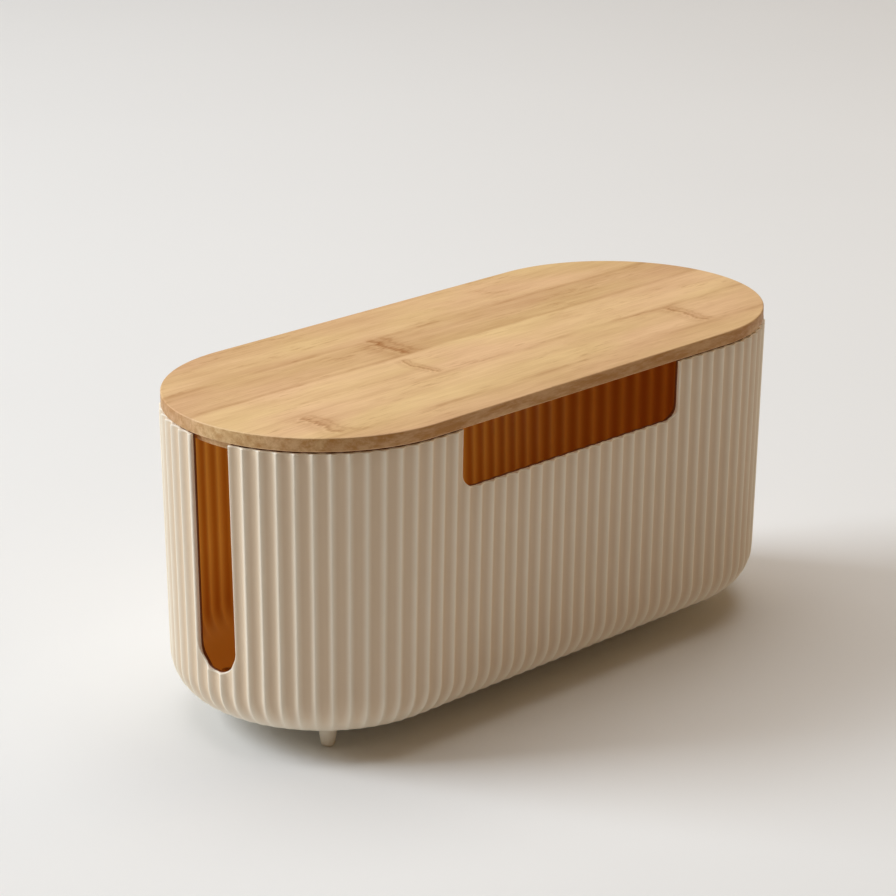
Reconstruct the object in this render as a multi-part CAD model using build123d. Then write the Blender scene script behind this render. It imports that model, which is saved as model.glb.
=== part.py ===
from build123d import *
import os
from math import cos, pi, radians, sin, tan

# Cable management box: a fluted, stadium-shaped moulded tub with a coloured liner, four peg feet
# and a lift-off bamboo lid. Millimetres. X runs along the box, the front with the long notch faces
# -Y, Z is up and z = 0 is the surface the box stands on.

# ---------------------------------------------------------------- outer shell
body_length = 321.6  # over the ridges, at the rim
body_width = 138.6  # over the ridges, at the rim
shell_height = 128.7  # from the underside to the rim
bottom_radius = 19.8  # bend between the wall and the underside
draft_angle = 1.1  # degrees by which the wall leans in towards the bottom
shell_wall = 2.2  # from a ridge to the smooth inner face
shell_floor = 2.4

# ---------------------------------------------------------------- flutes
end_flutes = 29  # round each half-circle end
side_flutes = 25  # along each straight side
flutes = (end_flutes, side_flutes)
flute_depth = 1.1
flute_floor = 0.42  # share of a flute's width taken by its flat floor
bend_steps = 4  # levels through which the fluted bend is lofted
hidden_counts = (18, 1)  # facets round each end and along each side where shell and liner meet
hidden_steps = 2  # levels through the bends there and through the liner's inner bend

# ---------------------------------------------------------------- liner
liner_clearance = 0.1  # between the liner and the shell's wall
liner_wall = 1.0
liner_floor = 1.2
liner_rib = 0.5  # how far each soft rib inside stands in from the liner's wall
liner_bend = 17.5  # bend between the liner's inner wall and its floor
liner_stand = 0.8  # the liner's rim over the shell's, which carries the lid and leaves a shadow gap

# ---------------------------------------------------------------- cable openings
slot_width = 21.2  # about three flutes
slot_offset = -4.3  # middle of both slots along Y
slot_sill = 25.9  # from the underside up to the bottom of the slots
slot_flat = 0.2  # what is left flat between the round corners at the bottom of a slot
notch_width = 134.2
notch_offset = -8.4  # middle of the notch along X
notch_depth = 26.3  # below the shell's rim
notch_corner = 6.5

# ---------------------------------------------------------------- feet and their screws
foot_height = 10.5
foot_top_diameter = 9.0
foot_tip_diameter = 6.4
foot_tip_chamfer = 1.0
foot_collar = 0.5  # straight part above the taper
foot_inset = 0.1  # from the edge of the flat underside to the edge of a foot
foot_angle = 48.0  # degrees round the end from the X axis
foot_screw_diameter = 3.0
foot_screw_bite = 7.0  # length of thread in the foot
foot_screw_head = 5.8
foot_screw_head_height = 1.8
hole_clearance = 0.2  # round a screw's shank in what it passes through

# ---------------------------------------------------------------- small round forms
round_sides = 18  # flats that stand for a circle on the feet, the screws and their holes

# ---------------------------------------------------------------- lid
lid_inset = 0.8  # from the ridges at the rim in to the lid's edge
lid_thickness = 6.0
lid_arris = 0.6  # chamfer of the board's edges
cleat_gap = 1.0  # between a cleat and the liner
cleat_width = 9.0
cleat_depth = 4.0
cleat_reach = 66.0  # degrees that a cleat runs to each side of the end's middle
cleat_screw_angle = 40.0  # degrees from the end's middle to a screw
cleat_screw_diameter = 2.5
cleat_screw_head = 5.0
cleat_screw_head_height = 1.6
cleat_screw_bite = 3.6  # length of thread in the lid

# ---------------------------------------------------------------- what follows from these
rim_radius = body_width / 2
end_axis = body_length / 2 - rim_radius  # X of the axis of each half-round end
lean = radians(draft_angle)
underside = foot_height
rim = underside + shell_height
lid_seat = rim + liner_stand
shell_floor_top = underside + shell_floor
liner_floor_top = shell_floor_top + liner_floor
liner_inset = shell_wall + liner_clearance
cavity_inset = liner_inset + liner_wall
over = 5.0  # how far a cutting solid runs past what it cuts


def wall_radius(inset, z):
    """Distance of the wall, moved in by inset, from the middle of the box at height z."""
    return rim_radius - inset - (rim - z) * tan(lean)


def bend_center(inset, floor_z, bend):
    """Radius and height of the middle of a bottom bend, in a plane square to the wall."""
    z = floor_z + bend
    return wall_radius(inset, z) - bend / cos(lean), z


def station_point(station, radius, z, counts):
    """A point round the stadium. Stations count flutes on from where the right end's arc begins."""
    end_count, side_count = counts
    lap, step = divmod(station, end_count + side_count)
    way = 1 if lap % 2 == 0 else -1
    if step <= end_count:
        turn = pi * (step / end_count - 0.5)
        return Vector(way * (end_axis + radius * cos(turn)), way * radius * sin(turn), z)
    return Vector(way * end_axis * (1 - 2 * (step - end_count) / side_count), way * radius, z)


def outline(ridge, valley, counts):
    """A closed outline: from each ridge down into the flute, along its floor and up again.

    ridge and valley are each a radius and a height. Without a valley it is a plain polygon. The
    flutes' middles are at whole stations, so that one ends each arc and a ridge is on its middle.
    """
    points = []
    for i in range(2 * sum(counts)):
        if valley:
            points.append(station_point(i - flute_floor / 2, *valley, counts))
            points.append(station_point(i + flute_floor / 2, *valley, counts))
            points.append(station_point(i + 0.5, *ridge, counts))
        else:
            points.append(station_point(i, *ridge, counts))
    return Wire([Edge.make_line(a, b) for a, b in zip(points, points[1:] + points[:1])])


def tub(inset, floor_z, top_z, bend, steps, counts, depth=0.0, fade_steps=1):
    """A solid stadium tub, lofted from its top edge down the leaning wall and round its bend.

    Flutes of the stated depth run down the wall and fade out over the first steps of the bend.
    """
    center_r, center_z = bend_center(inset, floor_z, bend)
    top_r = wall_radius(inset, top_z)
    levels = [outline((top_r, top_z), (top_r - depth, top_z) if depth else None, counts)]
    for k in range(steps + 1):
        turn = lean + (pi / 2 - lean) * k / steps
        fade = depth * cos(pi / 2 * k / fade_steps) if k < fade_steps else 0.0
        ridge = (center_r + bend * cos(turn), center_z - bend * sin(turn))
        reach = bend - fade
        valley = (center_r + reach * cos(turn), center_z - reach * sin(turn))
        levels.append(outline(ridge, valley if depth else None, counts))
    return Solid.make_loft(levels, ruled=True)


def post(diameter, low, high):
    """An upright bar from one height to another, with flats that stand for its round."""
    return Pos(0, 0, low) * extrude(RegularPolygon(diameter / 2, round_sides), amount=high - low)


# ---------------------------------------------------------------- cable openings
def round_bottomed(middle, low, width, corner):
    """Outline of an opening that is open at the top and has its two lower corners rounded."""
    height = lid_seat + over - low
    sheet = Pos(middle, low + height / 2) * Rectangle(width, height)
    return fillet(sheet.vertices().sort_by(Axis.Y)[:2], corner)


def end_slots():
    """One bar along X that opens both end walls from the rim down."""
    corner = (slot_width - slot_flat) / 2
    sheet = round_bottomed(slot_offset, underside + slot_sill, slot_width, corner)
    return extrude(Plane.YZ * sheet, amount=body_length / 2 + over, both=True)


def front_notch():
    """The bar that opens the top of the front wall."""
    sheet = round_bottomed(notch_offset, rim - notch_depth, notch_width, notch_corner)
    return Pos(0, -rim_radius / 2, 0) * extrude(Plane.XZ * sheet, amount=rim_radius / 2 + over)


# ---------------------------------------------------------------- feet
foot_ring = bend_center(0, underside, bottom_radius)[0] - foot_top_diameter / 2 - foot_inset
foot_x = end_axis + foot_ring * cos(radians(foot_angle))
foot_y = foot_ring * sin(radians(foot_angle))
foot_places = {
    "foot_front_left": Pos(-foot_x, -foot_y, 0),
    "foot_front_right": Pos(foot_x, -foot_y, 0),
    "foot_rear_left": Pos(-foot_x, foot_y, 0),
    "foot_rear_right": Pos(foot_x, foot_y, 0),
}


def foot():
    """A tapered peg with a chamfered tip, bored from above for its screw."""
    peg = post(foot_top_diameter, 0, underside)
    taper = (foot_top_diameter - foot_tip_diameter) / 2
    peg = chamfer(peg.faces().sort_by(Axis.Z)[0].edges(), underside - foot_collar, taper)
    peg = chamfer(peg.faces().sort_by(Axis.Z)[0].edges(), foot_tip_chamfer)
    return peg - post(foot_screw_diameter, underside - foot_screw_bite, underside + over)


def foot_screw():
    """Pan-head screw that clamps the liner and the shell onto a foot."""
    shank = post(foot_screw_diameter, underside - foot_screw_bite, liner_floor_top)
    return shank + post(foot_screw_head, liner_floor_top, liner_floor_top + foot_screw_head_height)


# ---------------------------------------------------------------- lid
cleat_outer = wall_radius(cavity_inset + liner_rib, rim) - cleat_gap
cleat_low = lid_seat - cleat_depth
cleat_middle = cleat_outer - cleat_width / 2


def cleat_screw_places(way):
    """Where the screws of the cleat at the right (1) or left (-1) end stand."""
    end = Pos(way * end_axis, 0, 0) * Rot(0, 0, 0 if way > 0 else 180)
    return [end * Rot(0, 0, turn) * Pos(cleat_middle, 0, 0) for turn in (-cleat_screw_angle, cleat_screw_angle)]


def lid_board():
    """The flat bamboo board with chamfered edges and blind holes for the cleats' screws."""
    top = SlotOverall(body_length - 2 * lid_inset, body_width - 2 * lid_inset)
    board = Pos(0, 0, lid_seat) * extrude(top, amount=lid_thickness)
    board = chamfer(board.edges().filter_by(Plane.XY), lid_arris)
    hole = post(cleat_screw_diameter, lid_seat - over, lid_seat + cleat_screw_bite)
    return board - [place * hole for way in (-1, 1) for place in cleat_screw_places(way)]


def cleat(way):
    """A curved strip under the lid that follows the inside of one end and centres the lid."""
    band = Circle(cleat_outer) - Circle(cleat_outer - cleat_width)
    far = 3 * cleat_outer
    rays = [(far * cos(radians(a)), far * sin(radians(a))) for a in (-cleat_reach, cleat_reach)]
    band &= make_face(Polyline((0, 0), *rays, close=True))
    end = Pos(way * end_axis, 0, cleat_low) * Rot(0, 0, 0 if way > 0 else 180)
    strip = end * extrude(band, amount=cleat_depth)
    return strip - [place * cleat_screw() for place in cleat_screw_places(way)]


def cleat_screw():
    """Screw with its head let in flush with the cleat, threaded up into the board."""
    head = post(cleat_screw_head, cleat_low, cleat_low + cleat_screw_head_height)
    return head + post(cleat_screw_diameter, cleat_low, lid_seat + cleat_screw_bite)


# ---------------------------------------------------------------- the pieces
openings = end_slots() + front_notch()
ways = [place * post(foot_screw_diameter + 2 * hole_clearance, underside - over, liner_floor_top + over)
        for place in foot_places.values()]

shell = tub(0, underside, rim, bottom_radius, bend_steps, flutes, flute_depth, bend_steps)
shell -= tub(shell_wall, shell_floor_top, rim + over, bottom_radius - shell_wall, hidden_steps, hidden_counts)
shell = shell - openings - ways

liner = tub(liner_inset, shell_floor_top, lid_seat, bottom_radius - liner_inset, hidden_steps, hidden_counts)
liner -= tub(cavity_inset, liner_floor_top, lid_seat + over, liner_bend, hidden_steps, flutes, liner_rib)
liner = liner - openings - ways

pieces = {"outer_shell": shell, "inner_liner": liner}
for name, place in foot_places.items():
    pieces[name] = place * foot()
pieces["foot_screws"] = Compound(children=[place * foot_screw() for place in foot_places.values()])
pieces["lid_board"] = lid_board()
pieces["lid_cleat_left"] = cleat(-1)
pieces["lid_cleat_right"] = cleat(1)
cleat_screws = [place * cleat_screw() for way in (-1, 1) for place in cleat_screw_places(way)]
pieces["cleat_screws"] = Compound(children=cleat_screws)

os.makedirs("parts", exist_ok=True)
for name, piece in pieces.items():
    export_step(piece, f"parts/{name}.step")
    print(name, len(piece.solids()), round(piece.volume, 1))
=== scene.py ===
# %% [markdown]
# # A fluted cable box with a bamboo lid
#
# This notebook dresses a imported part: a moulded box in the shape of a stadium, its amber liner, four
# peg feet and a loose bamboo lid. The part's own solids have the right sizes but few faces. Finer
# meshes take their places here, each riding on the body that carries it, and every surface gets a
# finish made of shader nodes.

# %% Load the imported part
import math

import bmesh
import bpy
import numpy as np
from mathutils import Matrix, Vector


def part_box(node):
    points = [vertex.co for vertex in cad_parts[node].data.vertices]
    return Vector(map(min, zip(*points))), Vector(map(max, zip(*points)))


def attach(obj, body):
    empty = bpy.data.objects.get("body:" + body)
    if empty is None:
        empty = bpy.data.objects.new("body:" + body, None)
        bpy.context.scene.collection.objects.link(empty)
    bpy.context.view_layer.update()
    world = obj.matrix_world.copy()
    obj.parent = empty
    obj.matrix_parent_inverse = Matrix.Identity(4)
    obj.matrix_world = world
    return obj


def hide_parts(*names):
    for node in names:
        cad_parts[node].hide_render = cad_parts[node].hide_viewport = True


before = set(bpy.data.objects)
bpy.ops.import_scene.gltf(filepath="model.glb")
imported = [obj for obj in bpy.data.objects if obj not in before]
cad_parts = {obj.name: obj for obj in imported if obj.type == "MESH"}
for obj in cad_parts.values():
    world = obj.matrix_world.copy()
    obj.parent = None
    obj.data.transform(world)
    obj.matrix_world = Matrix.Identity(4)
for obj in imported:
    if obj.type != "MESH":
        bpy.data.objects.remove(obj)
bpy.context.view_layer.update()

# %% [markdown]
# ## Sizes
#
# Those that a box can't tell, such as the bend at the foot of the wall, are written out. A factor
# `mm` keeps them readable: `2.2 * mm` is easier to check than `0.0022`.

# %% Read sizes from the solids and name the rest
mm = 0.001

shell_low, shell_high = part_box("outer_shell")
liner_low, liner_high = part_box("inner_liner")
board_low, board_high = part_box("lid_board")

rim_radius = shell_high.y
underside = shell_low.z
rim = shell_high.z
liner_rim = liner_high.z
body_length = 321.6 * mm
end_axis = body_length / 2 - rim_radius
lean = math.radians(1.1)

shell_wall = 2.2 * mm
shell_floor = 2.4 * mm
shell_bend = 19.8 * mm
liner_outside = 2.3 * mm
liner_inside = 3.3 * mm
liner_floor = liner_low.z + 1.2 * mm

print("rim radius", round(rim_radius, 4), "and end axes at x =", round(end_axis, 4), "either side")

# %% [markdown]
# ## Shader nodes as Python expressions
#
# A shader is a graph of small steps, and wiring it by hand hides the sum it works out. One class
# wraps an output socket and overloads the arithmetic operators, so `tone * 0.5 + 0.2` adds the two
# Math nodes itself. Numbers go through Math nodes. Vectors go through Vector Math, because a Math
# node would flatten them to one number.

# %% A wrapper for sockets
class Signal:
    """One output socket, usable in Python arithmetic."""

    def __init__(self, finish, socket):
        self.finish = finish
        self.socket = socket

    def _join(self, operation, first, second):
        signals = [value for value in (first, second) if isinstance(value, Signal)]
        is_vector = any(signal.socket.type == "VECTOR" for signal in signals)
        kind = "ShaderNodeVectorMath" if is_vector else "ShaderNodeMath"
        return self.finish.node(kind, {"operation": operation}, {0: first, 1: second})

    def __add__(self, other):
        return self._join("ADD", self, other)

    def __sub__(self, other):
        return self._join("SUBTRACT", self, other)

    def __rsub__(self, other):
        return self._join("SUBTRACT", other, self)

    def __mul__(self, other):
        return self._join("MULTIPLY", self, other)

    def __abs__(self):
        return self.finish.node("ShaderNodeMath", {"operation": "ABSOLUTE"}, {0: self})

    __radd__ = __add__
    __rmul__ = __mul__


print("a", Signal.__name__, "takes +, -, * and abs(), with a number on either side")

# %% [markdown]
# ## A builder for finishes
#
# A finish is a material that ends in one Principled shader. Every node that is not arithmetic comes
# from the one method `node`, which makes the settings first because they decide what sockets a node
# shows. The other methods are short names for the nodes that come back often. The scale of a noise
# counts features per metre. Noise stays mostly between 0.3 and 0.7, so it is often stretched to the
# full range from 0 to 1 before it mixes anything.

# %% A builder for finishes
class Finish:
    """A material being built: its nodes and the surface shader at their end."""

    def __init__(self, name):
        self.material = bpy.data.materials.new(name)
        self.material.use_nodes = True
        self.tree = self.material.node_tree
        self.tree.nodes.clear()
        output = self.tree.nodes.new("ShaderNodeOutputMaterial")
        self.surface = self.tree.nodes.new("ShaderNodeBsdfPrincipled")
        self.tree.links.new(self.surface.outputs[0], output.inputs["Surface"])
        self.place = self.node("ShaderNodeTexCoord", output="Object")

    def feed(self, node, sockets):
        """Sets a node's sockets to values, or links signals to them."""
        for key, value in sockets.items():
            if isinstance(value, Signal):
                self.tree.links.new(value.socket, node.inputs[key])
            else:
                node.inputs[key].default_value = value

    def node(self, kind, settings={}, sockets={}, output=0):
        """Adds a node: its settings first, then its sockets. Gives one of its outputs."""
        node = self.tree.nodes.new(kind)
        for key, value in settings.items():
            setattr(node, key, value)
        self.feed(node, sockets)
        return Signal(self, node.outputs[output])

    def axis(self, vector, index):
        """One coordinate of a vector: 0 is x, 1 is y, 2 is z."""
        return self.node("ShaderNodeSeparateXYZ", sockets={0: vector}, output=index)

    def noise(self, place, scale, detail=2.0, roughness=0.5):
        """Cloudy noise between 0 and 1."""
        sockets = {"Vector": place, "Scale": scale, "Detail": detail, "Roughness": roughness}
        return self.node("ShaderNodeTexNoise", sockets=sockets)

    def blend(self, share, first, second):
        """Mixes two colours. A Mix node takes them at sockets 6 and 7 and gives output 2."""
        sockets = {0: share, 6: first, 7: second}
        return self.node("ShaderNodeMix", {"data_type": "RGBA"}, sockets, output=2)

    def stretch(self, value, low, high):
        """Maps low..high to 0..1 and holds it there."""
        sockets = {"Value": value, "From Min": low, "From Max": high}
        return self.node("ShaderNodeMapRange", sockets=sockets)

    def relief(self, height, strength, distance):
        """Turns a height into small bumps on the surface."""
        sockets = {"Height": height, "Strength": strength, "Distance": distance}
        self.feed(self.surface, {"Normal": self.node("ShaderNodeBump", sockets=sockets)})


def paint(red, green, blue):
    """A colour from the 0 to 255 values of a screen, as the linear light that shaders use."""
    light = [c / 255 for c in (red, green, blue)]
    return [c / 12.92 if c < 0.04045 else ((c + 0.055) / 1.055) ** 2.4 for c in light] + [1.0]


black = paint(0, 0, 0)
print("a screen's middle grey of 128 is", round(paint(128, 128, 128)[0], 3), "in linear light")

# %% [markdown]
# ## Moulded plastics
#
# The shell, the feet and the liner are satin injection mouldings. Such a surface is never quite even:
# the mould's spark-eroded skin leaves a fine grain, and the colour drifts a little over a hand's
# width. One function makes them all from two near colours. The grain is a bump, since it is finer
# than any mesh here.
#
# Some effects depend on the shape, so the meshes carry a number called `flute`: 0 on a ridge and
# 1 on the floor of a flute. On the shell the flute floors get painted shade, darker than the ridges,
# so that the ridges stand out as pale lines. On the liner the same number marks its ribs, where the
# plastic is thicker and a deeper amber. The amber liner is translucent, so its inside gets painted
# light: a faint emission on the side where the daylight falls on the box. Tracing light through two
# walls would be slow and noisy, and a weak emission looks the same. The liner's edges and its
# outside, which must not glow, carry the number 2 and get a painted shade of deep brown, for the dark
# gap under the lid and the dark lines round the openings.

# %% Plastic finishes
on_flute_floor, on_liner_edge = 1.0, 2.0
daylight_end_x = 175 * mm
daylight_low, daylight_high = -10 * mm, 60 * mm


def moulded_plastic(name, tone, shade, roughness, deep_tone_and_shade=None, deepest_at=1.0, edge_shade=None, glow=0.0):
    """Satin moulded plastic of two near colours, darker in flute floors (painted shade on the shell),
    with painted shade on edges and a painted glow.
    """
    finish = Finish(name)
    drift = finish.noise(finish.place, 14.0, 3.0)
    grain = finish.noise(finish.place, 2600.0, 3.0, 0.6)
    smear = finish.noise(finish.place, 60.0, 4.0)
    color = finish.blend(finish.stretch(drift, 0.3, 0.7), tone, shade)
    # painted shade: on the shell the flute floors are darker than the ridges; on the liner its ribs
    # are a deeper amber
    if deep_tone_and_shade:
        depth = finish.node("ShaderNodeAttribute", {"attribute_name": "flute"}, output=2)
        color = finish.blend(finish.stretch(depth, 0.0, deepest_at), color, deep_tone_and_shade)
    # painted shade: deep brown on the liner's edges and outside, for the dark gap under the lid and
    # round the openings
    if edge_shade:
        at_edge = finish.stretch(depth, on_flute_floor, on_liner_edge)
        color = finish.blend(at_edge, color, edge_shade)
    gloss = roughness + (smear - 0.5) * 0.12
    finish.feed(finish.surface, {"Base Color": color, "Roughness": gloss})
    # painted light: a weak emission for daylight coming through the amber, strongest at the left end
    # and high up, none on the edges
    if glow:
        from_left = finish.stretch(finish.axis(finish.place, 0), daylight_end_x, 0.0)
        from_above = finish.stretch(finish.axis(finish.place, 2), daylight_low, daylight_high)
        seen = from_left * from_above * (1 - at_edge)
        finish.feed(finish.surface, {"Emission Color": finish.blend(seen, black, color)})
        finish.feed(finish.surface, {"Emission Strength": glow})
    finish.relief(grain, 0.25, 0.06 * mm)
    return finish.material


# the shell: painted shade in the flute floors, full from 0.8 of a flute's depth, leaving pale ridges
cream_plastic = moulded_plastic(
    "cream_plastic", paint(250, 239, 220), paint(246, 234, 213), 0.48,
    deep_tone_and_shade=paint(225, 202, 173), deepest_at=0.8)
# the liner: deeper amber on its ribs, a painted shade of deep brown on its edges and outside, and a
# painted glow inside
amber_plastic = moulded_plastic(
    "amber_plastic", paint(238, 178, 76), paint(230, 168, 64), 0.42,
    deep_tone_and_shade=paint(190, 114, 28), edge_shade=paint(116, 60, 18), glow=0.18)
foot_plastic = moulded_plastic(
    "foot_plastic", paint(248, 238, 219), paint(243, 231, 210), 0.5)
print("plastics:", cream_plastic.name, amber_plastic.name, foot_plastic.name)

# %% [markdown]
# ## Bamboo: slats and nodes
#
# The lid is a board glued up from bamboo slats that run along the box. The slats differ a little in
# tone and meet in seams. Now and then a slat has a node, the wavering scar where the cane had a
# joint. Each scar is built from lines across the slat: their distance from the scar's middle is bent
# and made jagged by noise that changes across the board only, so that a line stays a line.

# %% Slats and nodes
slat_seams = [-52.0 * mm, -22.5 * mm, 7.5 * mm, 34.0 * mm]
slat_tones = [0.34, 0.20, 0.16, 0.44, 0.32]
seam_blur, seam_core, seam_reach = 0.8 * mm, 0.2 * mm, 2.4 * mm

# x and y of its middle, half its width across the slat, and its breadth along the slat
node_scars = [(-33.0 * mm, 21.0 * mm, 14.5 * mm, 7.0 * mm),
              (-43.5 * mm, -8.5 * mm, 13.0 * mm, 3.0 * mm),
              (-127.0 * mm, -37.0 * mm, 14.0 * mm, 5.5 * mm),
              (99.0 * mm, -37.0 * mm, 14.0 * mm, 4.5 * mm)]


def slat_tone(finish, across):
    """How dark each slat is, with broken dark lines along the seams."""
    broken = finish.noise(finish.place * (16.0, 60.0, 0.0), 1.0, 3.0, 0.6)
    tone = 0.0
    for seam, before, after in zip(slat_seams, slat_tones, slat_tones[1:]):
        past = finish.stretch(across, seam - seam_blur, seam + seam_blur)
        line = 1 - finish.stretch(abs(across - seam), seam_core, seam_reach)
        tone = past * (after - before) + line * finish.stretch(broken, 0.40, 0.62) * 0.42 + tone
    return tone + slat_tones[0]


def node_scar(finish, x, y, scar):
    """How much darker one node makes the wood: jagged lines, a paler lip and a soft halo."""
    scar_x, scar_y, half_width, breadth = scar
    bend = (finish.noise(finish.place * (0.0, 75.0, 0.0), 1.0, 2.0) - 0.5) * breadth * 2.4
    jag = (finish.noise(finish.place * (60.0, 420.0, 0.0), 1.0, 4.0, 0.75) - 0.5) * breadth * 2.0
    middle = x - scar_x + bend

    def fading(distance, near, far):
        """1 up to near and 0 from far on, both as shares of the scar's breadth."""
        return 1 - finish.stretch(abs(distance), near * breadth, far * breadth)

    line = fading(middle + jag, 0.05, 0.36)
    lip = fading(middle + jag + 0.45 * breadth, 0.05, 0.36)
    echo = fading(middle - jag * 0.7 - 0.9 * breadth, 0.04, 0.25)
    halo = fading(middle, 0.4, 1.9)
    reach = 1 - finish.stretch(abs(y - scar_y), 0.8 * half_width, half_width)
    return reach * (halo * 0.30 + line * 0.36 + echo * 0.22 - lip * 0.22)


print(len(slat_tones), "slats with", len(node_scars), "nodes")

# %% [markdown]
# ## Bamboo: fibres and colour
#
# Over the slats lie a few things at finer scales: patches that lean to yellow or to pink, soft
# streaks, dashes and very fine fibres. All of them come from noise in the board's own space,
# stretched along X. Because the noise is solid, the same fibres come out as streaks on the top and
# the long edges and as specks at the ends, as in cut wood. The cut edges soak up more oil and are a
# little darker in specks. The long edges, which face front and back, also get a painted shade and
# come out darker than the ends. The surface normal tells where they are.

# %% Bamboo finish
oil_and_shade_brown = paint(172, 114, 34)


def bamboo(name, light, dark, scars=()):
    """Laminated bamboo with its fibres along X."""
    finish = Finish(name)
    x, y = finish.axis(finish.place, 0), finish.axis(finish.place, 1)
    bow = (finish.noise(finish.place * (7.0, 0.0, 0.0), 1.0, 1.0) - 0.5) * 3.5 * mm
    tone = slat_tone(finish, y + bow)

    clouds = finish.noise(finish.place * (14.0, 55.0, 55.0), 1.0, 3.0, 0.6)
    streaks = finish.noise(finish.place * (16.0, 210.0, 210.0), 1.0, 4.0, 0.6)
    fibres = finish.noise(finish.place * (60.0, 1400.0, 1400.0), 1.0, 3.0, 0.65)
    dashes = finish.noise(finish.place * (90.0, 620.0, 620.0), 1.0, 3.0, 0.6)
    flecks = finish.noise(finish.place * (22.0, 70.0, 70.0), 1.0, 2.0)
    tone = tone + (clouds - 0.5) * 0.85 + (streaks - 0.5) * 0.50 + (fibres - 0.5) * 0.55
    tone = tone + finish.stretch(dashes, 0.54, 0.72) * finish.stretch(flecks, 0.42, 0.62) * 0.45
    for scar in scars:
        tone = tone + node_scar(finish, x, y, scar)

    patches = finish.noise(finish.place * (12.0, 34.0, 34.0) + (3.0, 1.0, 7.0), 1.0, 2.0)
    color = finish.blend(finish.stretch(patches, 0.36, 0.64), *light)
    color = finish.blend(finish.stretch(tone, 0.0, 1.3), color, dark)

    facing = finish.node("ShaderNodeTexCoord", output="Normal")
    along_side, rise = finish.axis(facing, 1), finish.axis(facing, 2)
    specks = finish.noise(finish.place * (70.0, 300.0, 300.0), 1.0, 4.0, 0.7)
    # oil specks on every cut edge, and painted shade on the long edges by how far they face along Y
    oil_and_shade = abs(along_side) * 0.32 + finish.stretch(specks, 0.38, 0.62) * 0.5 + 0.12
    color = finish.blend(finish.stretch(1 - abs(rise), 0.3, 0.9) * oil_and_shade, color, oil_and_shade_brown)

    finish.feed(finish.surface, {"Base Color": color, "Roughness": 0.46 + fibres * 0.14})
    finish.relief(fibres + streaks, 0.35, 0.05 * mm)
    return finish.material


board_tints = paint(235, 201, 146), paint(237, 197, 151)
strip_tints = paint(230, 194, 140), paint(231, 190, 146)
board_bamboo = bamboo("board_bamboo", board_tints, paint(162, 106, 52), node_scars)
strip_bamboo = bamboo("cleat_bamboo", strip_tints, paint(166, 112, 60))
print("bamboo:", board_bamboo.name, "and", strip_bamboo.name)

# %% [markdown]
# ## Screw steel
#
# The screws are steel with yellow zinc plating, as most small screws for wood and plastic are. A
# metal needs little colour work: a dull gold, mostly metallic because the passivated film on the
# plating scatters some light, and a roughness that varies over the head.

# %% Steel finish
def plated_steel():
    """Steel with yellow zinc plating and a cloudy gloss."""
    finish = Finish("plated_steel")
    clouds = finish.noise(finish.place, 900.0, 4.0)
    color = finish.blend(clouds, paint(206, 178, 116), paint(186, 154, 92))
    gloss = 0.34 + clouds * 0.2
    finish.feed(finish.surface, {"Base Color": color, "Metallic": 0.6, "Roughness": gloss})
    finish.relief(clouds, 0.1, 0.02 * mm)
    return finish.material


screw_steel = plated_steel()
print("metal:", screw_steel.name)

# %% [markdown]
# ## Turning points into pieces
#
# All the meshes here are made the same way: rows of points, joined by quads, with the first and the
# last row closed by one face. The helper below makes the object, drops points that no face uses,
# turns its faces outwards, hides the solid it stands for and hangs it on its body.

# %% Helpers for meshes
def add_piece(name, points, faces, material, body, node, sharp_angle=50, flute=None):
    """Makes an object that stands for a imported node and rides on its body."""
    mesh = bpy.data.meshes.new(name)
    mesh.from_pydata([tuple(p) for p in points], [], [tuple(f) for f in faces])
    if flute is not None:
        numbers = mesh.attributes.new("flute", "FLOAT", "POINT")
        numbers.data.foreach_set("value", flute.astype(np.float32))
    work = bmesh.new()
    work.from_mesh(mesh)
    loose = [v for v in work.verts if not v.link_faces]
    bmesh.ops.delete(work, geom=loose, context="VERTS")
    bmesh.ops.recalc_face_normals(work, faces=work.faces)
    work.to_mesh(mesh)
    work.free()
    mesh.shade_smooth()
    mesh.set_sharp_from_angle(angle=math.radians(sharp_angle))
    mesh.materials.append(material)
    piece = bpy.data.objects.new(name, mesh)
    bpy.context.scene.collection.objects.link(piece)
    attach(piece, body)
    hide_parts(node)
    print(name, "has", len(mesh.vertices), "points and rides on", body)
    return piece


def stack(rows):
    """Points and faces of a closed skin through rows of points, all of one length."""
    count = len(rows[0])
    points = np.concatenate(rows)
    faces = [list(range(count))[::-1], list(range(len(points) - count, len(points)))]
    for r in range(len(rows) - 1):
        low, high = r * count, (r + 1) * count
        for i in range(count):
            after = (i + 1) % count
            faces.append((low + i, low + after, high + after, high + i))
    return points, faces


def turned(profile, sides, center):
    """Rows of points round an upright axis, one for each radius and height of a profile."""
    turn = np.linspace(0, 2 * np.pi, sides, endpoint=False)
    x, y = center
    return [np.stack([x + r * np.cos(turn), y + r * np.sin(turn), np.full(sides, z)], 1)
            for r, z in profile]


def merged(parts):
    """Several lots of points and faces as one."""
    points, faces, start = [], [], 0
    for own_points, own_faces in parts:
        points.append(own_points)
        faces += [[start + i for i in face] for face in own_faces]
        start += len(own_points)
    return np.concatenate(points), faces


drum_faces = stack(turned([(1.0, 0.0), (1.0, 1.0)], 8, (0, 0)))[1]
print("a plain drum of 8 sides has", len(drum_faces), "faces")

# %% [markdown]
# ## The fluted wall
#
# The shell's wall is the hardest form here. It leans, its flutes run down and fade out round the
# bend, and openings with rounded corners and rounded edges are cut in it. A Boolean cut would leave
# ragged faces and no rounding. Instead the skin is laid out as a grid whose columns run down the
# wall. A place on the outline is told by its *station*, which counts flutes on from where the right
# end's arc begins. A flute is a shallow hollow and two of them meet in a narrow ridge, so the
# columns crowd there. Columns inside an opening simply start lower, at its border.

# %% Places round the outline
end_flutes = 29
side_flutes = 25
flutes_per_half = end_flutes + side_flutes
flute_columns = np.array([0.0, 0.15, 0.28, 0.38, 0.45, 0.50, 0.55, 0.62, 0.72, 0.85])
slot_hold, slot_release = math.radians(42), math.radians(24)


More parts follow.
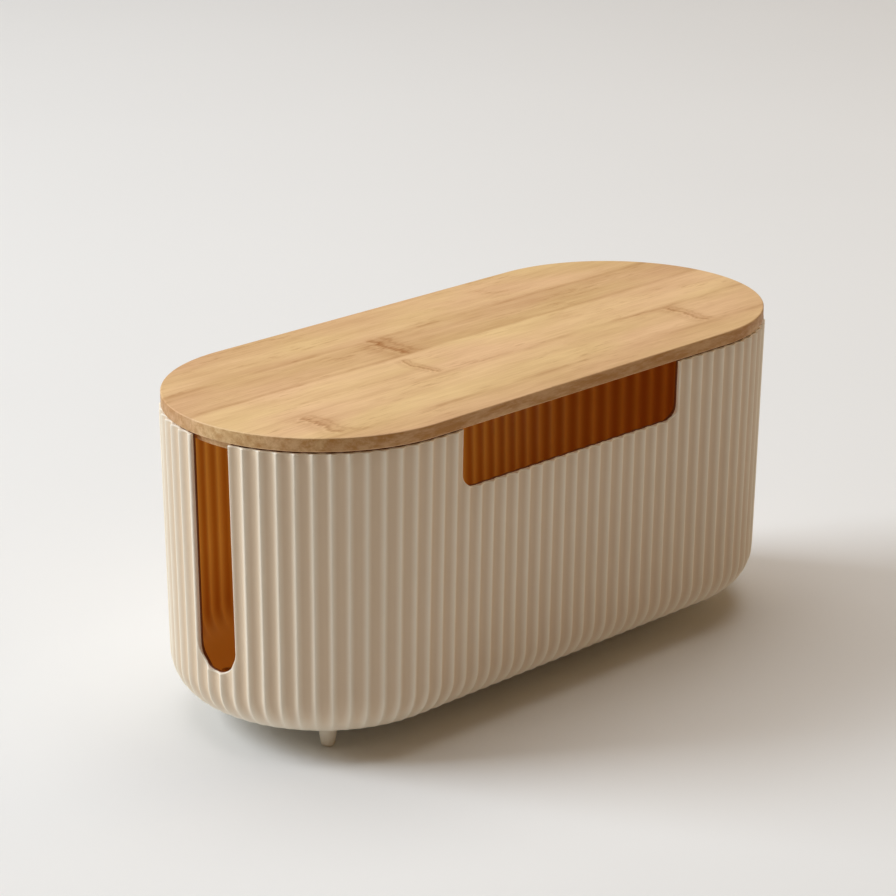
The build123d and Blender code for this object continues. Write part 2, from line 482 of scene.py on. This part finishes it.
def on_outline(station, radius, wall_radius_here=None):
    """x, y, outward direction and true station for stations at a distance from the middle.

    Near the end slots the columns keep their y as the radius shrinks, so that the slots' edges stay
    upright and parallel, and the true station is where they then stand.
    """
    lap, step = np.divmod(station, flutes_per_half)
    way = np.where(lap % 2 == 0, 1.0, -1.0)
    turn = np.pi * (step / end_flutes - 0.5)
    on_end = step <= end_flutes
    hold = np.clip((slot_hold - np.abs(turn)) / slot_release, 0, 1)
    ratio = rim_radius / (radius if wall_radius_here is None else wall_radius_here)
    held = np.arcsin(np.clip(ratio * np.sin(np.clip(turn, -1, 1)), -1, 1))
    turn = np.where(on_end, turn + hold * (held - turn), turn)
    side_x = end_axis * (1 - 2 * (step - end_flutes) / side_flutes)
    x = way * np.where(on_end, end_axis + radius * np.cos(turn), side_x)
    y = way * np.where(on_end, radius * np.sin(turn), radius)
    out_x = way * np.where(on_end, np.cos(turn), 0.0)
    out_y = way * np.where(on_end, np.sin(turn), 1.0)
    true_station = np.where(on_end, (turn / np.pi + 0.5) * end_flutes, step)
    return x, y, out_x, out_y, true_station


def flute_profile(station, softness):
    """1 on a flute's floor, 0 on a ridge, with the ridge rounded by its softness."""
    across = 1 - (2 * (station - np.round(station))) ** 2
    full = math.sqrt(1 + softness**2) - softness
    return (np.sqrt(across**2 + softness**2) - softness) / full


def wall_radius(inset, z):
    """Distance of the leaning wall, moved in by inset, from the middle at height z."""
    return rim_radius - inset - (rim - z) * math.tan(lean)


print(2 * flutes_per_half, "flutes; at the foot the wall stands at radius",
      round(wall_radius(0.0, underside + shell_bend), 4))

# %% [markdown]
# ## Openings
#
# Each opening is told by how far it reaches along its wall, its sill and its corner radius. To round
# an edge by a radius, the grid stops that far short of the true border and a narrow strip of arcs
# bridges the rest. So an opening can give its columns for any such distance, always the same number
# of them, which lets the outer and the inner skin be joined point by point.

# %% The kind of an opening
upper_rows, middle_rows, lower_rows, bend_rows = 3, 5, 3, 12
corner_turns = np.radians([0, 12, 24, 36, 48])


class Opening:
    """A gap in the wall, open at the top, with rounded lower corners."""

    def __init__(self, low, high, sill, corner, to_station, across, outward, row):
        self.low, self.high, self.sill, self.corner = low, high, sill, corner
        self.to_station = to_station
        self.across = np.array(across, float)
        self.outward = np.array(outward, float)
        self.shoulder = sill + corner
        self.row = row

    def border(self, edge, inner_stations):
        """Stations and heights of the columns from side to side, edge short of the border."""
        reach = self.corner + edge
        first = self.low + self.corner - reach * np.cos(corner_turns)
        last = self.high - self.corner + reach * np.cos(corner_turns[::-1])
        fall = self.shoulder - reach * np.sin(corner_turns)
        ends = self.to_station(first), self.to_station(last)
        stations = np.concatenate([ends[0], inner_stations, ends[1]])
        from_low = self.low + self.corner - self.place(inner_stations)
        from_high = self.place(inner_stations) - self.high + self.corner
        inside = np.clip(np.maximum(from_low, from_high), 0, None)
        heights = self.shoulder - np.sqrt(np.clip(reach**2 - inside**2, 0, None))
        return stations, np.concatenate([fall, heights, fall[::-1]])

    def place(self, stations):
        """Where stations lie along the wall, the other way round from to_station."""
        grid = np.linspace(self.low - 5 * mm, self.high + 5 * mm, 4000)
        return np.interp(stations, self.to_station(grid), grid)


print("a corner takes", len(corner_turns), "columns of its own")

# %% [markdown]
# ## The three openings
#
# Two equal slots in the ends let the power strip's cord out, and a long notch in the front wall lets
# out the charging cords. They lie a little off the middle. The slots are given by y and the notch by
# x, and each knows how to turn that into stations. `row` is the grid row on which its border lies.

# %% Place the openings
slot_low, slot_high = -14.9 * mm, 6.3 * mm
slot_sill, slot_corner = 36.4 * mm, 10.5 * mm
notch_left, notch_right = -75.5 * mm, 58.7 * mm
notch_sill, notch_corner = 112.9 * mm, 6.5 * mm


def left_end_station(across):
    return flutes_per_half + end_flutes * (np.arcsin(across / rim_radius) / np.pi + 0.5)


def right_end_station(across):
    return end_flutes * (np.arcsin(across / rim_radius) / np.pi + 0.5)


def front_station(x):
    return flutes_per_half + end_flutes + side_flutes * (x + end_axis) / (2 * end_axis)


right_slot = Opening(slot_low, slot_high, slot_sill, slot_corner, right_end_station,
                     across=(0, 1, 0), outward=(1, 0, 0), row=upper_rows + middle_rows)
left_slot = Opening(-slot_high, -slot_low, slot_sill, slot_corner, left_end_station,
                    across=(0, -1, 0), outward=(-1, 0, 0), row=upper_rows + middle_rows)
notch = Opening(notch_left, notch_right, notch_sill, notch_corner, front_station,
                across=(1, 0, 0), outward=(0, -1, 0), row=upper_rows)
openings = (right_slot, left_slot, notch)
print("openings start at stations", [round(float(o.to_station(o.low)), 2) for o in openings])

# %% [markdown]
# ## Columns of the grid
#
# Every column has two turning heights, at the notch's shoulder and at the slots'. The rows between
# them are spread evenly, so all columns have the same number of points. Where a column is inside an
# opening, the matching height is the opening's border instead.

# %% Lay out the columns
side_room = 1.3 * mm


def wall_columns(edge):
    """Every column's station, its two turning heights and the opening it is inside of, if any."""
    plain = (np.arange(2 * flutes_per_half)[:, None] + flute_columns).ravel()
    high_turn, low_turn = notch.shoulder, right_slot.shoulder
    stations, upper, lower, inside = [], [], [], []
    done = 0.0
    for opening in openings:
        start = opening.to_station(opening.low - side_room)
        past_corner = 0.34 * opening.corner + 0.2 * mm
        first_free = opening.to_station(opening.low + past_corner)
        last_free = opening.to_station(opening.high - past_corner)
        before = plain[(plain >= done) & (plain < start)]
        free = plain[(plain > first_free) & (plain < last_free)]
        own, heights = opening.border(edge, free)
        stations += [before, own]
        own_upper = heights if opening is notch else np.full(len(own), high_turn)
        own_lower = np.full(len(own), low_turn) if opening is notch else heights
        upper += [np.full(len(before), high_turn), own_upper]
        lower += [np.full(len(before), low_turn), own_lower]
        inside += [None] * len(before) + [None] + [opening] * (len(own) - 2) + [None]
        done = opening.to_station(opening.high + side_room)
    rest = plain[plain > done]
    stations.append(rest)
    upper.append(np.full(len(rest), high_turn))
    lower.append(np.full(len(rest), low_turn))
    inside += [None] * len(rest)
    return np.concatenate(stations), np.concatenate(upper), np.concatenate(lower), inside


print("the wall has", len(wall_columns(0.0)[0]), "columns")

# %% [markdown]
# ## One skin
#
# A skin is the grid of one side of the wall: three spans of rows down to the bend, then rows round
# the bend. The flutes hollow it by their relief, straight in on the wall and towards the bend's own
# axis below. Round the bend they fade out by a cosine, since the underside is flat.

# %% Rows of a skin
fade_power = 1.6


def wall_skin(inset, floor_z, bend, top, edge, relief=0.0, softness=0.3, fade_angle=math.pi / 2):
    """Rows of points for one side of the wall and its bend, and their outward directions."""
    station, upper, lower, inside = wall_columns(edge)
    bend_top = floor_z + bend
    spans = [(top - edge, upper, upper_rows), (upper, lower, middle_rows),
             (lower, bend_top, lower_rows)]
    heights = []
    for high, low, count in spans:
        heights += [high + (low - high) * k / count + 0 * station for k in range(count)]
    heights.append(bend_top + 0 * station)
    rows, outs, depths = [], [], []
    for z in heights:
        radius = wall_radius(inset, z)
        *_, true_station = on_outline(station, radius)
        depths.append(flute_profile(true_station, softness))
        x, y, out_x, out_y, _ = on_outline(station, radius - relief * depths[-1], radius)
        rows.append(np.stack([x, y, z], 1))
        outs.append(np.stack([out_x, out_y, 0 * z], 1))
    foot_radius = wall_radius(inset, bend_top)
    center = foot_radius - bend / math.cos(lean)
    *_, true_station = on_outline(station, np.full(len(station), foot_radius))
    for turn in np.linspace(lean, math.pi / 2, bend_rows + 1)[1:]:
        fade = max(0.0, math.cos(math.pi / 2 * min(1.0, turn / fade_angle))) ** fade_power
        depths.append(fade * flute_profile(true_station, softness))
        reach = bend - relief * depths[-1]
        x, y, *_ = on_outline(station, center + reach * math.cos(turn), foot_radius)
        rows.append(np.stack([x, y, bend_top - reach * math.sin(turn)], 1))
    return np.array(rows), np.array(outs), inside, np.array(depths)


print("a skin has", upper_rows + middle_rows + lower_rows + bend_rows + 1, "rows")

# %% [markdown]
# ## The border between two skins
#
# A tub is an outer and an inner skin, joined along their common border by a strip that turns through
# a quarter circle out of each skin. The border runs along the rim, down one side of each opening,
# along its sill and up again, and at every point the strip needs to know which way is out of the
# material.

# %% Walk along the border
def border_walk(inside):
    """The border as (row, column, kind, opening): along the rim and round each opening."""
    walk = []
    for column, opening in enumerate(inside):
        if opening:
            walk.append((opening.row, column, "sill", opening))
            continue
        ahead, behind = inside[(column + 1) % len(inside)], inside[column - 1]
        beside = ahead or behind
        if not beside:
            walk.append((0, column, "rim", None))
            continue
        kind = "falling" if ahead else "rising"
        corner = (0, column, "corner " + kind, beside)
        down = [(row, column, kind, beside) for row in range(1, beside.row + 1)]
        walk += [corner] + down if ahead else down[::-1] + [corner]
    return walk


def border_directions(walk, rows, outs, edge):
    """For each border point, the way out of the material along the wall and out through it."""
    up = np.array([0.0, 0.0, 1.0])
    along, through = [], []
    for row, column, kind, opening in walk:
        if kind == "rim":
            along.append(up)
            through.append(outs[row, column])
            continue
        is_corner = kind.startswith("corner")
        through.append(outs[row, column] if is_corner else opening.outward)
        if kind == "sill":
            place = float(rows[row, column] @ opening.across)
            past_low = max(opening.low + opening.corner - place, 0)
            past_high = max(place - opening.high + opening.corner, 0)
            sideways = np.clip((past_low - past_high) / (opening.corner + edge), -1, 1)
            along.append(opening.across * sideways + up * math.sqrt(1 - sideways**2))
        else:
            sign = 1 if kind.endswith("falling") else -1
            along.append(opening.across * sign + (up if is_corner else 0))
    return np.array(along), np.array(through)


print("the border has", len(border_walk(wall_columns(0.0)[3])), "points")

# %% [markdown]
# ## A tub from two skins
#
# Now the faces: quads in each skin wherever the grid is not inside an opening, one flat face to
# close the underside, and the strips of arcs that join the two skins along the border. Each point
# also keeps how deep it lies in its flute, for the finishes. Points on plain skins and on the edges
# get one fixed number instead.

# %% Join two skins
edge_steps = 4


def skin_faces(index, inside):
    """Quads of a skin's grid of point numbers, left out above the openings' borders."""
    faces = []
    row_count, count = index.shape
    for row in range(row_count - 1):
        for column in range(count):
            after = (column + 1) % count
            limits = [o.row for o in (inside[column], inside[after]) if o]
            if row >= max(limits, default=0):
                faces.append((index[row, column], index[row + 1, column],
                              index[row + 1, after], index[row, after]))
    faces.append(list(index[-1]))
    return faces


def tub(outer, inner, edge_depth=0.0):
    """Points, faces and flute depths of a hollow tub between two skins, given as wall_skin's."""
    points, faces, loops, depths = [], [], [], []
    start = 0
    for skin, sign in ((outer, 1), (inner, -1)):
        rows, outs, inside, depth = wall_skin(**skin)
        depths.append(depth.ravel() if "relief" in skin else np.full(depth.size, edge_depth))
        index = start + np.arange(depth.size).reshape(depth.shape)
        points.append(rows.reshape(-1, 3))
        faces += skin_faces(index, inside)
        walk = border_walk(inside)
        along, through = border_directions(walk, rows, outs, skin["edge"])
        base = np.array([rows[row, column] for row, column, *_ in walk])
        turns = np.linspace(0, math.pi / 2, edge_steps + 1)[1:]
        arcs = [along * math.sin(t) - sign * through * (1 - math.cos(t)) for t in turns]
        strips = [base + skin["edge"] * arc for arc in arcs]
        loops.append(([index[row, column] for row, column, *_ in walk], strips))
        start += depth.size
    chain = [loops[0][0]]
    for strip in loops[0][1] + loops[1][1][::-1]:
        points.append(strip)
        depths.append(np.full(len(strip), edge_depth))
        chain.append(list(range(start, start + len(strip))))
        start += len(strip)
    chain.append(loops[1][0])
    for first, second in zip(chain, chain[1:]):
        for i in range(len(first)):
            after = (i + 1) % len(first)
            faces.append((first[i], first[after], second[after], second[i]))
    return np.concatenate(points), faces, np.concatenate(depths)


print("each edge turns in", edge_steps, "steps a side")

# %% [markdown]
# ## Shell and liner
#
# Both are tubs from the same recipe. The shell is fluted outside and plain inside. The liner is
# plain outside and has soft ribs inside, where the plastic follows the flutes. Its rim stands a
# little higher than the shell's: that carries the lid and leaves the thin dark line under it, which
# a painted shade on the liner's edge makes darker.

# %% Make the shell and the liner
flute_depth = 1.6 * mm
rib_depth = 0.6 * mm
liner_bend = shell_bend - liner_outside

shell_points, shell_faces, shell_flutes = tub(
    dict(inset=0.0, floor_z=underside, bend=shell_bend, top=rim, edge=0.75 * mm,
         relief=flute_depth, softness=0.20, fade_angle=math.radians(78)),
    dict(inset=shell_wall, floor_z=underside + shell_floor, bend=shell_bend - shell_wall,
         top=rim, edge=0.3 * mm),
)
add_piece("fluted_shell", shell_points, shell_faces, cream_plastic, "box", "outer_shell",
          sharp_angle=80, flute=shell_flutes)

liner_points, liner_faces, liner_ribs = tub(
    dict(inset=liner_outside, floor_z=liner_low.z, bend=liner_bend, top=liner_rim,
         edge=0.25 * mm),
    dict(inset=liner_inside, floor_z=liner_floor, bend=liner_bend, top=liner_rim,
         edge=0.3 * mm, relief=rib_depth, fade_angle=math.radians(50)),
    edge_depth=on_liner_edge,
)
add_piece("ribbed_liner", liner_points, liner_faces, amber_plastic, "box", "inner_liner",
          sharp_angle=80, flute=liner_ribs)

# %% [markdown]
# ## Feet
#
# Each foot is a turned peg that narrows towards a rounded tip. Turning a profile is the natural way
# to make it: a handful of radii and heights, spun round the foot's own axis.

# %% Make the feet
foot_sides = 48
tip_radius, tip_round, tip_flat = 3.15 * mm, 2.0 * mm, 0.5 * mm
top_chamfer = 1.5 * mm


def peg_foot(node):
    """A tapered peg with a rounded tip, in the place of a packed foot."""
    low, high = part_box(node)
    center = ((low.x + high.x) / 2, (low.y + high.y) / 2)
    top_radius = (high.y - low.y) / 2
    height = high.z - low.z
    profile = [(tip_flat, low.z)]
    for turn in np.linspace(0, math.pi / 2, 7):
        radius = tip_radius - tip_round + tip_round * math.sin(turn)
        profile.append((radius, low.z + tip_round * (1 - math.cos(turn))))
    for share in np.linspace(0, 1, 6)[1:]:
        radius = tip_radius + (top_radius - tip_radius) * share
        profile.append((radius, low.z + tip_round + (height - tip_round) * share))
    profile.append((top_radius - top_chamfer, high.z))
    points, faces = stack(turned(profile, foot_sides, center))
    name = node.replace("foot", "peg_foot")
    add_piece(name, points, faces, foot_plastic, "box", node)


for node in ("foot_front_left", "foot_front_right", "foot_rear_left", "foot_rear_right"):
    peg_foot(node)

# %% [markdown]
# ## Rings of a screw
#
# The screws are hidden until the lid comes off, but a part that can be taken apart should look right
# then too. A screw is one skin again: rings down the domed head, under it, and down a threaded
# shank. The thread is a ridge that climbs by one pitch a turn, and the drive is a cross pressed into
# the head, so both are only a matter of where the rings' points lie.

# %% Rings of a screw
screw_sides = 48
pitch = 1.0 * mm
rings_per_pitch = 6


def cross_recess(x, y, size):
    """How far a point of the head is pressed in by the cross, from 0 to 1."""
    arm = np.minimum(np.abs(x), np.abs(y))
    reach = np.maximum(np.abs(x), np.abs(y))
    half_arm, slant = 0.22 * size, 0.1 * size
    slope = np.clip((size - reach) / (0.4 * size), 0, 1)
    return np.where(arm < half_arm, slope, np.clip(1 - (arm - half_arm) / slant, 0, 1) * slope)


def screw_points(center, seat, head_radius, head_height, shank_radius, tip, way):
    """Rings of a screw whose head lies on the seat on its way side and whose shank ends at tip."""
    turn = np.linspace(0, 2 * np.pi, screw_sides, endpoint=False)
    rows = []

    def ring(radius, z):
        x, y = center[0] + radius * np.cos(turn), center[1] + radius * np.sin(turn)
        rows.append(np.stack([x, y, z + 0 * turn], 1))

    for share in np.linspace(0.04, 1, 14):
        radius = head_radius * share
        dome = head_height * (0.55 + 0.45 * math.sqrt(1 - share**2))
        press = cross_recess(radius * np.cos(turn), radius * np.sin(turn), 0.55 * head_radius)
        ring(radius, seat + way * (dome - 0.6 * head_height * press))
    ring(head_radius, seat)
    length = abs(tip - seat)
    for k in range(int(length / pitch * rings_per_pitch) + 1):
        down = min(k * pitch / rings_per_pitch, length)
        climb = (down / pitch - turn / (2 * np.pi)) % 1
        thread = 1 - np.abs(2 * climb - 1)
        taper = min(1.0, (length - down) / (1.5 * pitch) + 0.25)
        ring(shank_radius * (0.82 + 0.18 * thread) * taper, seat - way * down)
    return stack(rows)


print("a turn of thread takes", rings_per_pitch, "rings of", screw_sides, "points")

# %% [markdown]
# ## Screws
#
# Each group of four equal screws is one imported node, so it becomes one piece. Four screws stand
# inside on the liner's floor and hold the feet on. The other four go up into the lid through the
# strips under it, and their heads sit in counterbores. The screws' places mirror each other in both
# directions, so one place is enough.

# %% Make the screws
def screw_set(name, node, body, place, head_radius, head_height, shank_radius, seat, way):
    """The four screws of one packed group as one piece, each in the place of its solid."""
    low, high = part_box(node)
    centers = [(sx * place[0], sy * place[1]) for sx in (-1, 1) for sy in (-1, 1)]
    tip = low.z if way > 0 else high.z
    sizes = head_radius, head_height, shank_radius
    points, faces = merged([screw_points(center, seat, *sizes, tip, way) for center in centers])
    add_piece(name, points, faces, screw_steel, body, node)


foot_low, foot_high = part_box("foot_rear_right")
foot_center = ((foot_low.x + foot_high.x) / 2, (foot_low.y + foot_high.y) / 2)
screw_set("pan_head_screws", "foot_screws", "box", foot_center, head_radius=2.85 * mm,
          head_height=1.8 * mm, shank_radius=1.5 * mm, seat=liner_floor, way=1)

strip_screw_reach, strip_screw_turn = 60 * mm, math.radians(40)
strip_screw_center = (end_axis + strip_screw_reach * math.cos(strip_screw_turn),
                      strip_screw_reach * math.sin(strip_screw_turn))
counterbore_depth = 1.6 * mm
strip_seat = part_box("lid_cleat_left")[0].z + counterbore_depth
screw_set("strip_screws", "cleat_screws", "lid", strip_screw_center, head_radius=2.45 * mm,
          head_height=1.5 * mm, shank_radius=1.25 * mm, seat=strip_seat, way=-1)

# %% [markdown]
# ## Lid board
#
# The board is a flat stadium with its edges just broken by sanding. Most of its look comes from the
# finish, but the sanded edge matters too: it catches a thin line of light all round. A short arc at
# the top and the bottom of the edge does it, with enough points round each end to stay smooth.

# %% Make the lid board
board_length = 320.0 * mm
sanding = 0.55 * mm
arc_points = 96


def stadium_ring(center_x, radius, z):
    """A row of points round a stadium of the given radius."""
    turn = np.linspace(-np.pi / 2, np.pi / 2, arc_points)
    right = np.stack([center_x + radius * np.cos(turn), radius * np.sin(turn)], 1)
    ring = np.concatenate([right, -right])
    return np.column_stack([ring, np.full(len(ring), z)])


def lid_board():
    """The lid's board with softly sanded edges."""
    radius = board_high.y
    center_x = board_length / 2 - radius
    arc = np.linspace(0, math.pi / 2, 6)
    lower = [(sanding * (1 - math.sin(t)), board_low.z + sanding * (1 - math.cos(t))) for t in arc]
    upper = [(inset, board_low.z + board_high.z - z) for inset, z in lower[::-1]]
    rows = [stadium_ring(center_x, radius - inset, z) for inset, z in lower + upper]
    points, faces = stack(rows)
    add_piece("bamboo_board", points, faces, board_bamboo, "lid", "lid_board",
              sharp_angle=60)


lid_board()

# %% [markdown]
# ## Drilling the strips
#
# The strips under the lid have counterbored screw holes. These are the one spot where a Boolean is
# the simple way: the holes are round and their edges need no rounding. The modifier is worked out
# once and its result becomes the strip's own mesh.

# %% A drill for counterbored holes
bore_radius, hole_radius = 2.6 * mm, 1.35 * mm
drill_sides = 40


def drill(piece, centers, seat, bottom, top):
    """Cuts counterbored holes up through a piece."""
    profile = [(bore_radius, bottom - mm), (bore_radius, seat), (hole_radius, seat),
               (hole_radius, top + mm)]
    points, faces = merged([stack(turned(profile, drill_sides, center)) for center in centers])
    mesh = bpy.data.meshes.new("drill")
    mesh.from_pydata([tuple(p) for p in points], [], faces)
    cutter = bpy.data.objects.new("drill", mesh)
    bpy.context.scene.collection.objects.link(cutter)
    holes = piece.modifiers.new("holes", "BOOLEAN")
    holes.object = cutter
    holes.solver = "EXACT"
    evaluated = piece.evaluated_get(bpy.context.evaluated_depsgraph_get())
    drilled = bpy.data.meshes.new_from_object(evaluated)
    piece.modifiers.clear()
    piece.data = drilled
    drilled.set_sharp_from_angle(angle=math.radians(40))
    bpy.data.objects.remove(cutter)
    print(piece.name, "has", len(drilled.vertices), "points with its holes")


print("a counterbore is", round(2 * bore_radius / mm, 1), "mm wide")

# %% [markdown]
# ## Locating strips
#
# Under the board a curved strip at each end drops inside the liner and keeps the lid in its place. A
# strip is a small rounded bar swept along an arc: its section is drawn once and set down at each
# step of the turn.

# %% Make the locating strips
strip_width = 9.0 * mm
strip_round = 0.4 * mm
strip_turns = np.radians(np.linspace(-65.8, 65.8, 90))


def strip_section(half, half_height):
    """A rounded rectangle as (across, rise) from its middle."""
    section = []
    for side, rise in ((1, -1), (1, 1), (-1, 1), (-1, -1)):
        quarter = np.linspace(0, math.pi / 2, 4)
        for t in quarter if side * rise > 0 else np.linspace(math.pi / 2, 0, 4):
            section.append((side * (half - strip_round + strip_round * math.cos(t)),
                            rise * (half_height - strip_round + strip_round * math.sin(t))))
    return section


def locating_strip(name, node, way):
    """A curved bar under one end of the lid, with a hole for each of its screws."""
    low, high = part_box(node)
    outer = max(abs(low.x), abs(high.x)) - end_axis
    inner = outer - strip_width
    middle, center_z = (outer + inner) / 2, (low.z + high.z) / 2
    section = strip_section((outer - inner) / 2, (high.z - low.z) / 2)
    rows = []
    for turn in strip_turns:
        rows.append(np.array([(way * (end_axis + (middle + across) * math.cos(turn)),
                               (middle + across) * math.sin(turn), center_z + rise)
                              for across, rise in section]))
    points, faces = stack(rows)
    strip = add_piece(name, points, faces, strip_bamboo, "lid", node, sharp_angle=40)
    centers = [(way * strip_screw_center[0], side * strip_screw_center[1]) for side in (-1, 1)]
    drill(strip, centers, strip_seat, low.z, high.z)


locating_strip("locating_strip_left", "lid_cleat_left", -1)
locating_strip("locating_strip_right", "lid_cleat_right", 1)

# %% [markdown]
# ## Floor
#
# The stage is plain: a large pale floor under soft daylight. Its finish has only a slight
# cloudiness, because anything more would draw the eye away from the box.

# %% Floor
def pale_floor():
    """A large floor with a plain pale finish."""
    mesh = bpy.data.meshes.new("floor")
    half = 6.0
    corners = [(-half, -half, 0), (half, -half, 0), (half, half, 0), (-half, half, 0)]
    mesh.from_pydata(corners, [], [(0, 1, 2, 3)])
    finish = Finish("floor_white")
    clouds = finish.noise(finish.place, 3.0, 2.0)
    color = finish.blend(clouds, paint(235, 236, 236), paint(232, 233, 233))
    finish.feed(finish.surface, {"Base Color": color, "Roughness": 0.7})
    mesh.materials.append(finish.material)
    floor = bpy.data.objects.new("floor", mesh)
    bpy.context.scene.collection.objects.link(floor)
    print(floor.name, "is", 2 * half, "m wide")


pale_floor()

# %% [markdown]
# ## Lamps and world
#
# Three area lamps do the work. The window is large and stands behind and to the left, so that the
# flutes of the near end catch it and the front wall lies in its own shade. A wide ceiling lamp
# softens the shadow. The third is weak and warm and stands low on the right: it stands for the rest
# of a furnished room, and its grazing light draws the ridges of the front wall. The world adds a
# warm, even light, because in a room shade is lit by walls and not by sky.

# %% Lamps and world
def lamp(name, place, target, size, power, color):
    """A square area lamp that looks at a target."""
    light = bpy.data.lights.new(name, "AREA")
    light.size = size
    light.energy = power
    light.color = color
    holder = bpy.data.objects.new(name, light)
    holder.location = place
    aim = Vector(target) - Vector(place)
    holder.rotation_euler = aim.to_track_quat("-Z", "Y").to_euler()
    bpy.context.scene.collection.objects.link(holder)


box_middle = (0.0, 0.0, 0.07)
warm = (1.0, 0.65, 0.33)
lamp("window", (-2.35, 2.51, 2.5), box_middle, size=2.1, power=152.0, color=(0.86, 0.93, 1.0))
lamp("room_right", (3.0, -1.1, 0.9), box_middle, size=1.2, power=12.0, color=warm)
lamp("ceiling", (0.3, 0.5, 3.0), box_middle, size=2.6, power=52.0, color=(1.0, 0.98, 0.95))

world = bpy.data.worlds.new("room")
world.use_nodes = True
background = world.node_tree.nodes["Background"]
background.inputs["Color"].default_value = (*warm, 1.0)
background.inputs["Strength"].default_value = 0.12
bpy.context.scene.world = world
bpy.context.scene.view_settings.view_transform = "Standard"

# %% [markdown]
# ## Camera
#
# The box is seen from its front left, a little from above, through a long lens, so that the far end
# looks hardly smaller than the near one. The camera looks from its place at a point on its axis and
# is turned about that axis by a small roll.

# %% Camera
def aim_camera(azimuth, elevation, roll, distance, target, lens):
    """A camera that looks at a target from a bearing and a height, in degrees."""
    a, e = math.radians(azimuth), math.radians(elevation)
    back = Vector((math.sin(a) * math.cos(e), -math.cos(a) * math.cos(e), math.sin(e)))
    data = bpy.data.cameras.new("camera")
    data.sensor_width = 36.0
    data.lens = lens
    data.clip_end = 50.0
    camera = bpy.data.objects.new("camera", data)
    camera.location = Vector(target) + back * distance
    side = Vector((0, 0, 1)).cross(back).normalized()
    up = back.cross(side)
    c, s = math.cos(math.radians(roll)), math.sin(math.radians(roll))
    axes = Matrix((side * c + up * s, up * c - side * s, back))
    camera.rotation_euler = axes.transposed().to_euler()
    bpy.context.scene.collection.objects.link(camera)
    bpy.context.scene.camera = camera
    return camera


camera = aim_camera(azimuth=-45.169, elevation=18.994, roll=0.235, distance=1.4081,
                    target=(-0.00327, 0.01344, 0.09379), lens=126.16)
print("camera at", [round(c, 3) for c in camera.location])
